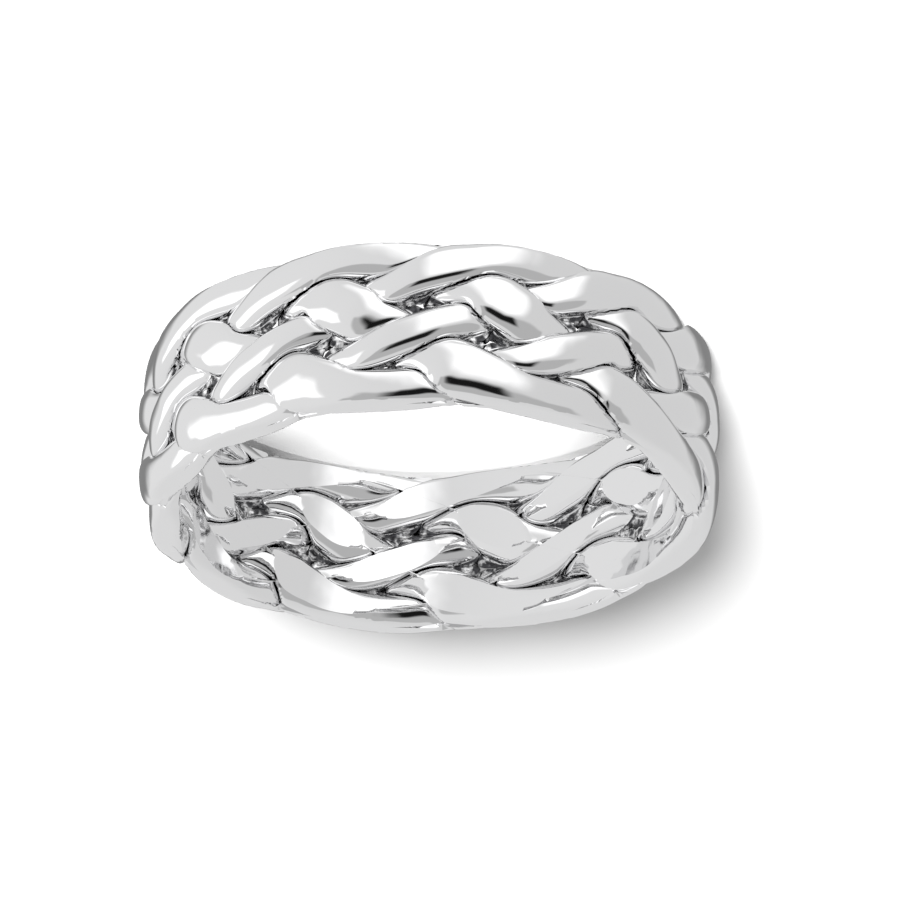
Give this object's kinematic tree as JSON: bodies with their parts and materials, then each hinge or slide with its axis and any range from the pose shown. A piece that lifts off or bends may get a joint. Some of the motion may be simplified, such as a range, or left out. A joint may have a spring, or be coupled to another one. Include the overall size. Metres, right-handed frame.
{
  "type": "braided band ring",
  "caption": "Finger ring whose band is a closed flat braid of polished white metal wires, domed outside and filed flat round the finger hole.",
  "frame": {"origin": "on the finger hole's axis, midway between the two rims", "axes": "+Z along the finger hole's axis, up from the rim it lies on; -Y towards the front, the side nearest the camera"},
  "size_m": [0.022, 0.022, 0.0066],
  "materials": {
    "white_metal": "polished white gold or silver, rough and dark in the recesses of the weave"
  },
  "bodies": {
    "root": {"strand_1": "white_metal", "strand_2": "white_metal", "strand_3": "white_metal", "strand_4": "white_metal", "strand_5": "white_metal"}
  },
  "joints": []
}
